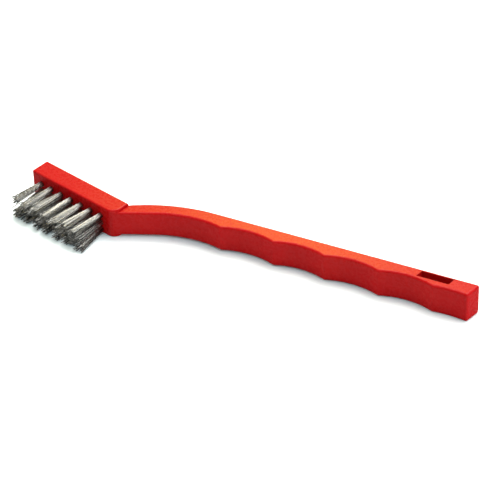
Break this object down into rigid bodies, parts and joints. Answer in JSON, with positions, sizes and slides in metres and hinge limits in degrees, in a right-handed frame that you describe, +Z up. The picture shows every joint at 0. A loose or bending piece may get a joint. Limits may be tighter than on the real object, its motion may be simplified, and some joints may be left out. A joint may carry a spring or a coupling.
{
  "type": "wire scratch brush",
  "caption": "Small hand wire brush: a moulded plastic handle with a cranked neck, finger ridges and a hang slot, and steel wire tufts stapled into its head.",
  "frame": {"origin": "centre of the underside of the whole box, on the surface that the brush lies on", "axes": "+X along the grip towards the butt, -Y towards the wires' side, +Z up, across the tuft rows"},
  "size_m": [0.1872, 0.033, 0.0127],
  "materials": {
    "handle_plastic": "satin",
    "tuft_wire": "bright drawn wire",
    "anchor_wire": "plain"
  },
  "bodies": {
    "root": {"handle": "handle_plastic", "tuft_r1_c1": "tuft_wire", "anchor_r1_c1": "anchor_wire", "tuft_r1_c2": "tuft_wire", "anchor_r1_c2": "anchor_wire", "tuft_r1_c3": "tuft_wire", "anchor_r1_c3": "anchor_wire", "tuft_r1_c4": "tuft_wire", "anchor_r1_c4": "anchor_wire", "tuft_r1_c5": "tuft_wire", "anchor_r1_c5": "anchor_wire", "tuft_r1_c6": "tuft_wire", "anchor_r1_c6": "anchor_wire", "tuft_r1_c7": "tuft_wire", "anchor_r1_c7": "anchor_wire", "tuft_r2_c1": "tuft_wire", "anchor_r2_c1": "anchor_wire", "tuft_r2_c2": "tuft_wire", "anchor_r2_c2": "anchor_wire", "tuft_r2_c3": "tuft_wire", "anchor_r2_c3": "anchor_wire", "tuft_r2_c4": "tuft_wire", "anchor_r2_c4": "anchor_wire", "tuft_r2_c5": "tuft_wire", "anchor_r2_c5": "anchor_wire", "tuft_r2_c6": "tuft_wire", "anchor_r2_c6": "anchor_wire", "tuft_r2_c7": "tuft_wire", "anchor_r2_c7": "anchor_wire", "tuft_r3_c1": "tuft_wire", "anchor_r3_c1": "anchor_wire", "tuft_r3_c2": "tuft_wire", "anchor_r3_c2": "anchor_wire", "tuft_r3_c3": "tuft_wire", "anchor_r3_c3": "anchor_wire", "tuft_r3_c4": "tuft_wire", "anchor_r3_c4": "anchor_wire", "tuft_r3_c5": "tuft_wire", "anchor_r3_c5": "anchor_wire", "tuft_r3_c6": "tuft_wire", "anchor_r3_c6": "anchor_wire", "tuft_r3_c7": "tuft_wire", "anchor_r3_c7": "anchor_wire"}
  },
  "joints": []
}
